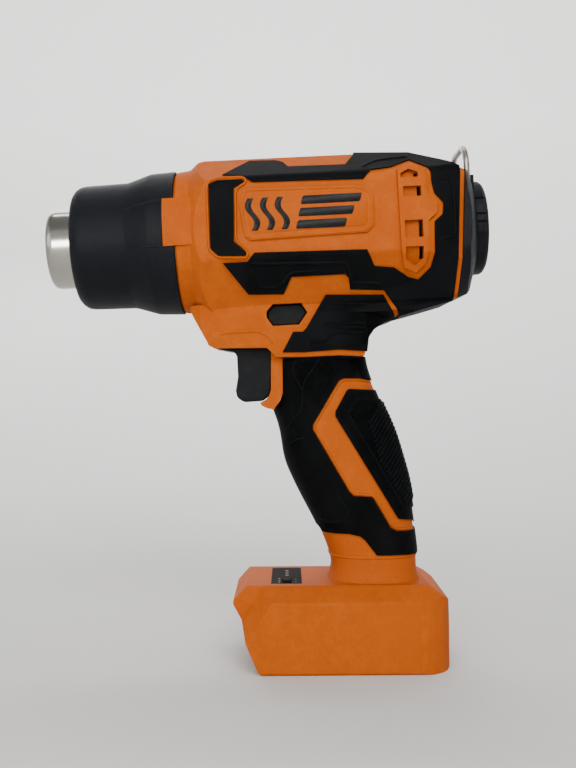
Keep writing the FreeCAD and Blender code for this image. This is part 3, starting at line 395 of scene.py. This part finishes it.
class Solid:
    """One extra piece, put together from strips and slabs."""

    def __init__(self, name, material, slot):
        self.name = name
        self.material = material
        self.slot = slot
        self.bm = bmesh.new()

    def strip(self, spots, width, rise, closed=False, sink=0.3):
        """A rounded ridge along (position, normal) spots; width is its half width, in mm."""
        spots = [s for s in spots if s[0] is not None]
        count = len(spots)
        if count < 3:
            return
        profile = [(-1.0, -sink), (-0.86, 0.35 * rise), (-0.42, 0.92 * rise), (0.42, 0.92 * rise),
                   (0.86, 0.35 * rise), (1.0, -sink)]
        rings = []
        for i in range(count):
            here, normal = spots[i]
            before = spots[i - 1][0] if closed or i else here
            after = spots[(i + 1) % count][0] if closed or i < count - 1 else here
            near = normal.copy()
            for j in (i - 1, i + 1):
                if closed or 0 <= j < count:
                    near += spots[j % count][1]
            near.normalize()
            along = (after - before).normalized()
            out = (near - along * near.dot(along)).normalized()
            aside = along.cross(out)
            taper = 1.0
            if not closed:
                taper = min(1.0, 0.25 + 0.75 * min(i, count - 1 - i) / 2)
            ring = []
            for a, h in profile:
                lift = out * h * (taper if h > 0 else 1)
                ring.append(self.bm.verts.new(here + (aside * a * width + lift) * MM))
            rings.append(ring)
        size = len(profile)
        pairs = list(zip(rings, rings[1:]))
        if closed:
            pairs.append((rings[-1], rings[0]))
        for first, second in pairs:
            for k in range(size):
                m = (k + 1) % size
                self.bm.faces.new((first[k], second[k], second[m], first[m]))
        if not closed:
            self.bm.faces.new(list(reversed(rings[0])))
            self.bm.faces.new(rings[-1])

    def ridge(self, skin, points, width, rise, closed=False, sides=(-1, 1), step=0.9, reach=1.2):
        """A ridge along a line seen from the side, laid on the skin on both sides."""
        line = spaced(eased(points, closed, reach=reach), closed, step)
        for side in sides:
            self.strip([skin.across(p.x, p.y, side) for p in line], width, rise, closed)

    def slab(self, points, low, high, chamfer, sides=(-1, 1), reach=0.8):
        """A flat plate with an outline seen from the side, from low to high away from the middle."""
        outline = eased(points, True, reach=reach)
        inner = eased(grown([tuple(p) for p in points], -chamfer), True, reach=reach)
        for side in sides:
            levels = []
            for shape, y in ((outline, low), (outline, high - chamfer * 0.7), (inner, high)):
                levels.append([self.bm.verts.new(Vector((p.x, side * y, p.y)) * MM) for p in shape])
            count = len(outline)
            for lower, upper in zip(levels, levels[1:]):
                for k in range(count):
                    m = (k + 1) % count
                    self.bm.faces.new((lower[k], lower[m], upper[m], upper[k]))
            self.bm.faces.new(levels[0])
            self.bm.faces.new(levels[-1])

    def puck(self, x, y, z, radius, low, high, turns=20):
        """A small round button standing up along +Z."""
        levels = []
        for r, h in ((radius, low), (radius, high - 0.06), (radius - 0.08, high)):
            levels.append([self.bm.verts.new(Vector((x + r * math.cos(2 * math.pi * i / turns),
                                                     y + r * math.sin(2 * math.pi * i / turns),
                                                     z + h)) * MM) for i in range(turns)])
        for lower, upper in zip(levels, levels[1:]):
            for k in range(turns):
                m = (k + 1) % turns
                self.bm.faces.new((lower[k], lower[m], upper[m], upper[k]))
        self.bm.faces.new(levels[0])
        self.bm.faces.new(levels[-1])

    def done(self, body="body", angle=50.0):
        bmesh.ops.recalc_face_normals(self.bm, faces=self.bm.faces)
        mesh = bpy.data.meshes.new(self.name)
        self.bm.to_mesh(mesh)
        self.bm.free()
        mesh.polygons.foreach_set("use_smooth", [True] * len(mesh.polygons))
        mesh.set_sharp_from_angle(angle=math.radians(angle))
        mesh.materials.append(self.material)
        obj = bpy.data.objects.new(self.name, mesh)
        bpy.context.collection.objects.link(obj)
        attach(obj, body)
        return obj


# ------------------------------------------------------------------ outlines, mm
SIDE_BRACKET = [(-22.0, 18.5), (-18.5, 20.0), (-8.5, 20.0), (-7.5, 19.0), (-12.0, 16.5),
                (-13.0, -5.0), (-8.5, -9.5), (-8.5, -11.0), (-19.5, -10.5), (-22.5, -7.5)]
SIDE_PANEL = [(-8.0, 16.0), (39.0, 15.0), (44.0, 11.5), (44.0, -1.0), (41.0, -4.0), (-6.0, -5.0),
              (-8.5, -3.0), (-10.0, 9.5)]
INLAY_OUTER = [(61.0, 119.6), (44.0, 120.0), (39.0, 121.0), (32.0, 121.0), (30.0, 120.0),
               (19.0, 101.5), (19.0, 99.5), (34.0, 73.5), (36.0, 71.5), (43.5, 71.0),
               (44.5, 70.0), (51.5, 58.0), (54.0, 56.5), (60.5, 56.0)]
INLAY_INNER = [(61.2, 60.4), (55.0, 61.5), (54.0, 63.0), (28.5, 105.0), (28.5, 107.0),
               (33.5, 116.0), (34.5, 116.5), (46.5, 116.1)]


# Middle of the bead that runs round the handle just above the foot.
ANKLE = Vector((45.0, 0.0, 45.4))
# The raised plate on the side panel, from inside the shell to its face.
PLATE_LOW = 33.7
PLATE_HIGH = 34.5
# The badge's print, from just under the panel's face to just above it.
BADGE_LOW = 34.4
BADGE_HIGH = 34.58


def shifted(points, amount):
    """An open line moved sideways by amount, to the left of its direction."""
    result = []
    for i, p in enumerate(points):
        before = Vector(p) - Vector(points[max(i - 1, 0)])
        after = Vector(points[min(i + 1, len(points) - 1)]) - Vector(p)
        if before.length == 0:
            before = after
        if after.length == 0:
            after = before
        first = Vector((-before.y, before.x)).normalized()
        second = Vector((-after.y, after.x)).normalized()
        move = (first + second) * (amount / (1.0 + first.dot(second)))
        result.append((p[0] + move.x, p[1] + move.y))
    return result


# ------------------------------------------------------------------ details
def orange_details():
    shell = Skin(["housing_left", "housing_right"])
    piece = Solid("housing_beads", ORANGE, "orange_shell")
    piece.ridge(shell, on_barrel(grown(SIDE_PANEL, -0.75)), 0.55, 0.3, closed=True)
    piece.slab(on_barrel(grown(SIDE_PANEL, -2.5)), PLATE_LOW, PLATE_HIGH, 0.6, reach=0.7)
    piece.ridge(shell, on_barrel(grown(SIDE_BRACKET, 0.75)), 0.6, 1.0, closed=True)
    piece.ridge(shell, shifted(INLAY_OUTER, 0.75), 0.6, 0.6)
    piece.ridge(shell, shifted(INLAY_INNER, -0.75), 0.6, 0.6)
    piece.ridge(shell, [(-20.1, 139.6), (-15.5, 140.6), (-3.5, 140.8), (0.4, 139.0), (2.6, 135.5)],
                0.6, 0.45)
    spots = []
    for i in range(90):
        a = 2 * math.pi * i / 90
        spots.append(shell.toward(ANKLE, Vector((math.cos(a), math.sin(a), 0.0))))
    piece.strip(spots, 0.6, 0.45, closed=True)
    piece.done()


def guard_details():
    """Low creases that run forward from the housing's tongues over the guard."""
    skin = Skin(["front_shroud"])
    piece = Solid("guard_creases", GUARD, "guard_black")
    for line in ([(-58.0, 191.0), (-52.0, 192.4), (-43.5, 194.6)],
                 [(-56.0, 175.6), (-49.0, 175.0), (-43.5, 175.0)]):
        piece.ridge(skin, line, 0.55, 0.4)
    piece.done()


def badge():
    """Plain generic mark on the side panel: three heat waves and a stack of bars."""
    piece = Solid("side_badge", INK, "control_black")
    for i in range(3):
        left = []
        right = []
        for k in range(13):
            t = k / 12
            v = -1.4 + 13.2 * t
            u = -4.4 + 6.0 * i + 1.5 * math.sin(2 * math.pi * t) - 0.9 * t
            left.append((u - 1.25, v))
            right.append((u + 1.25, v))
        piece.slab(on_barrel(left + right[::-1]), BADGE_LOW, BADGE_HIGH, 0.05, reach=0.2)
    for low, start, end in ((8.3, 14.6, 38.6), (3.4, 13.4, 35.4), (-1.5, 12.2, 32.2)):
        bar = [(start, low), (end, low), (end + 1.0, low + 3.5), (start + 1.0, low + 3.5)]
        piece.slab(on_barrel(bar), BADGE_LOW, BADGE_HIGH, 0.05, reach=0.5)
    piece.done()


def rubber_details():
    skin = Skin(["body_grip_left", "body_grip_right", "neck_grip_left", "neck_grip_right",
                 "handle_grip_left", "handle_grip_right"])
    piece = Solid("grip_beads", RUBBER, "grip_rubber")
    for line in ([(-6.2, -14.2), (2.7, -14.7), (31.5, -15.6), (33.0, -17.9), (34.0, -23.2), (46.5, -24.3)],
                 [(-7.0, -16.3), (-2.8, -23.6), (5.0, -23.8), (8.6, -18.4), (20.5, -18.2)],
                 [(40.5, 23.2), (46.0, 26.5), (52.0, 27.4), (60.3, 28.2)],
                 [(71.0, 16.4), (76.0, 16.2), (77.2, 8.0), (77.0, -7.4), (71.0, -8.0)]):
        piece.ridge(skin, on_barrel(line), 0.7, 0.55)
    for line in ([(27.5, 152.2), (41.8, 151.8)], [(23.2, 143.9), (41.0, 143.9)],
                 [(23.2, 142.2), (41.0, 142.2)],
                 [(17.7, 134.1), (18.3, 136.4), (25.5, 136.6), (27.3, 139.8), (31.6, 140.1), (40.2, 140.0)],
                 [(22.0, 129.0), (21.1, 127.5), (16.2, 121.0), (14.7, 117.0), (15.2, 111.1), (13.8, 107.0),
                  (7.4, 99.0)],
                 [(12.4, 128.8), (11.0, 126.0), (11.0, 122.2), (14.6, 116.4)],
                 [(15.2, 95.8), (13.1, 95.6), (8.0, 92.4)],
                 [(21.8, 61.3), (24.2, 60.5), (30.2, 60.5), (33.8, 63.0), (33.8, 66.0), (29.7, 71.9)]):
        piece.ridge(skin, line, 0.5, 0.5)
    piece.done()


# The handle's back edge where the first and the last rib cross it.
FIRST_RIB = Vector((48.3, 0.0, 110.6))
LAST_RIB = Vector((60.7, 0.0, 68.6))
PAD_ZONE = [(37.6, 112.2), (80.0, 110.6), (80.0, 66.2), (57.6, 66.2), (34.9, 104.4), (34.1, 106.1)]


def inside(x, z, outline):
    """Whether a point lies inside a closed outline."""
    found = False
    for i, (x1, z1) in enumerate(outline):
        x0, z0 = outline[i - 1]
        if (z0 > z) != (z1 > z) and x < (x1 - x0) * (z - z0) / (z1 - z0) + x0:
            found = not found
    return found


def pad_ribs():
    """Slanting ribs that wrap round the back of the handle inside the pad's border."""
    skin = Skin(["grip_pad_left", "grip_pad_right"])
    piece = Solid("pad_ribs", PAD, "grip_rubber")
    slope = Vector((-0.53, 0.0, -0.848)).normalized()
    across = Vector((0.0, 1.0, 0.0))
    border = [(46.5, 112.0), (37.6, 112.2), (34.1, 106.1), (34.9, 104.4), (57.0, 66.4), (59.0, 66.0)]
    piece.ridge(skin, border, 0.45, 0.35)
    count = 22
    for i in range(count):
        t = i / (count - 1)
        back = FIRST_RIB.lerp(LAST_RIB, t)
        centre = back + slope * 11.0
        run = []
        for k in range(-44, 45):
            a = math.radians(k * 2.0)
            spot = skin.toward(centre, -slope * math.cos(a) + across * math.sin(a))
            x, z = (spot[0].x / MM, spot[0].z / MM) if spot[0] is not None else (0.0, 0.0)
            if spot[0] is not None and inside(x, z, grown(PAD_ZONE, -1.0)):
                run.append(spot)
            elif run:
                piece.strip(run, 0.66, 0.75)
                run = []
        piece.strip(run, 0.66, 0.75)
    piece.done()


def foot_plate_marks():
    """Plain dots in place of the printed marks on the foot's plate."""
    low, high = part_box("control_panel")
    top = high.z / MM
    piece = Solid("plate_dots", PRINT, "panel_grey")
    for x, y, r in ((4.4, -15.0, 0.5), (4.4, -11.0, 0.5), (4.4, -7.0, 0.5), (11.4, -14.0, 0.35),
                    (11.4, -9.0, 0.35), (7.7, 0.0, 0.8), (7.7, 5.0, 0.8), (7.7, 10.0, 0.8)):
        piece.puck(x, y, top, r, -0.2, 0.14)
    piece.done()


finish_nodes()
orange_details()
guard_details()
badge()
rubber_details()
pad_ribs()
foot_plate_marks()


# ------------------------------------------------------------------ stage, light, camera
def stage_bowl():
    """Pale round floor that sweeps up into a wall on every side, the floor painted darker than the wall as
    painted shade.
    """
    profile = [(0.0, 0.0), (0.25, 0.0), (0.5, 0.0)]
    for i in range(1, 25):
        a = math.pi / 2 * i / 24
        profile.append((0.5 + 1.6 * math.sin(a), 1.6 - 1.6 * math.cos(a)))
    profile.append((2.1, 2.6))
    mesh = bpy.data.meshes.new("stage_bowl")
    bm = bmesh.new()
    turns = 96
    rings = []
    centre = bm.verts.new((0, 0, 0))
    for r, z in profile[1:]:
        ring = []
        for i in range(turns):
            a = 2 * math.pi * i / turns
            ring.append(bm.verts.new((r * math.cos(a), r * math.sin(a), z)))
        rings.append(ring)
    for i in range(turns):
        bm.faces.new((centre, rings[0][i], rings[0][(i + 1) % turns]))
    for inner, outer in zip(rings, rings[1:]):
        for i in range(turns):
            j = (i + 1) % turns
            bm.faces.new((inner[i], outer[i], outer[j], inner[j]))
    bm.normal_update()
    bm.to_mesh(mesh)
    bm.free()
    mesh.polygons.foreach_set("use_smooth", [True] * len(mesh.polygons))
    obj = bpy.data.objects.new("stage_bowl", mesh)
    bpy.context.collection.objects.link(obj)
    g = Graph("stage paper")
    # Darker towards the floor and paler up the wall: painted shade on the lower background.
    rise = g.ramp(g.xyz()[2], 0.0, 0.7)
    tone = g.mix(rise, rgb(0.58, 0.575, 0.566), rgb(0.87, 0.865, 0.85))
    tone = g.mix(g.ramp(g.noise(2.0, 3.0), 0.3, 0.7, 0.0, 0.15), tone, rgb(0.88, 0.875, 0.86))
    g.set(Base_Color=tone, Roughness=0.85)
    mesh.materials.append(g.material)


def area_light(name, location, target, size, power, color=(1.0, 1.0, 1.0)):
    data = bpy.data.lights.new(name, "AREA")
    data.shape = "DISK"
    data.size = size
    data.energy = power
    data.color = color
    obj = bpy.data.objects.new(name, data)
    obj.location = location
    direction = Vector(target) - Vector(location)
    obj.rotation_mode = "QUATERNION"
    obj.rotation_quaternion = direction.to_track_quat("-Z", "Y")
    bpy.context.collection.objects.link(obj)


def studio():
    stage_bowl()
    centre = (0.0, 0.0, 0.11)
    area_light("key", (0.15, -0.7, 0.62), (0.0, 0.0, 0.17), 0.5, 5.8, (1.0, 0.99, 0.97))
    area_light("front", (-0.37, -1.25, 0.4), centre, 0.36, 7.5, (1.0, 0.99, 0.96))
    area_light("top", (0.1, 0.2, 1.4), centre, 0.9, 1.0)
    area_light("fill", (-0.95, -0.8, 0.5), centre, 0.9, 3.0, (0.97, 0.98, 1.0))
    area_light("back", (-0.3, 1.1, 0.9), centre, 0.9, 4.0)
    area_light("wall", (0.0, 0.6, 1.5), (0.0, 2.0, 0.6), 1.2, 38.0)
    world = bpy.data.worlds.new("studio")
    world.use_nodes = True
    background = world.node_tree.nodes["Background"]
    background.inputs["Color"].default_value = rgb(0.97, 0.98, 1.0)
    background.inputs["Strength"].default_value = 0.3
    bpy.context.scene.world = world


CAMERA_PLACE = (0.0087, -0.430, 0.1187)
CAMERA_LENS = 46.08
CAMERA_ROLL = 0.4


def camera():
    """Square to the tool's left side, 430 mm away."""
    data = bpy.data.cameras.new("camera")
    data.sensor_width = 36.0
    data.lens = CAMERA_LENS
    data.dof.use_dof = False
    data.clip_start = 0.01
    data.clip_end = 20.0
    obj = bpy.data.objects.new("camera", data)
    roll = Matrix.Rotation(math.radians(CAMERA_ROLL), 4, "Y")
    level = Matrix.Rotation(math.radians(90.0), 4, "X")
    obj.matrix_world = Matrix.Translation(CAMERA_PLACE) @ roll @ level
    bpy.context.collection.objects.link(obj)
    bpy.context.scene.camera = obj


studio()
camera()
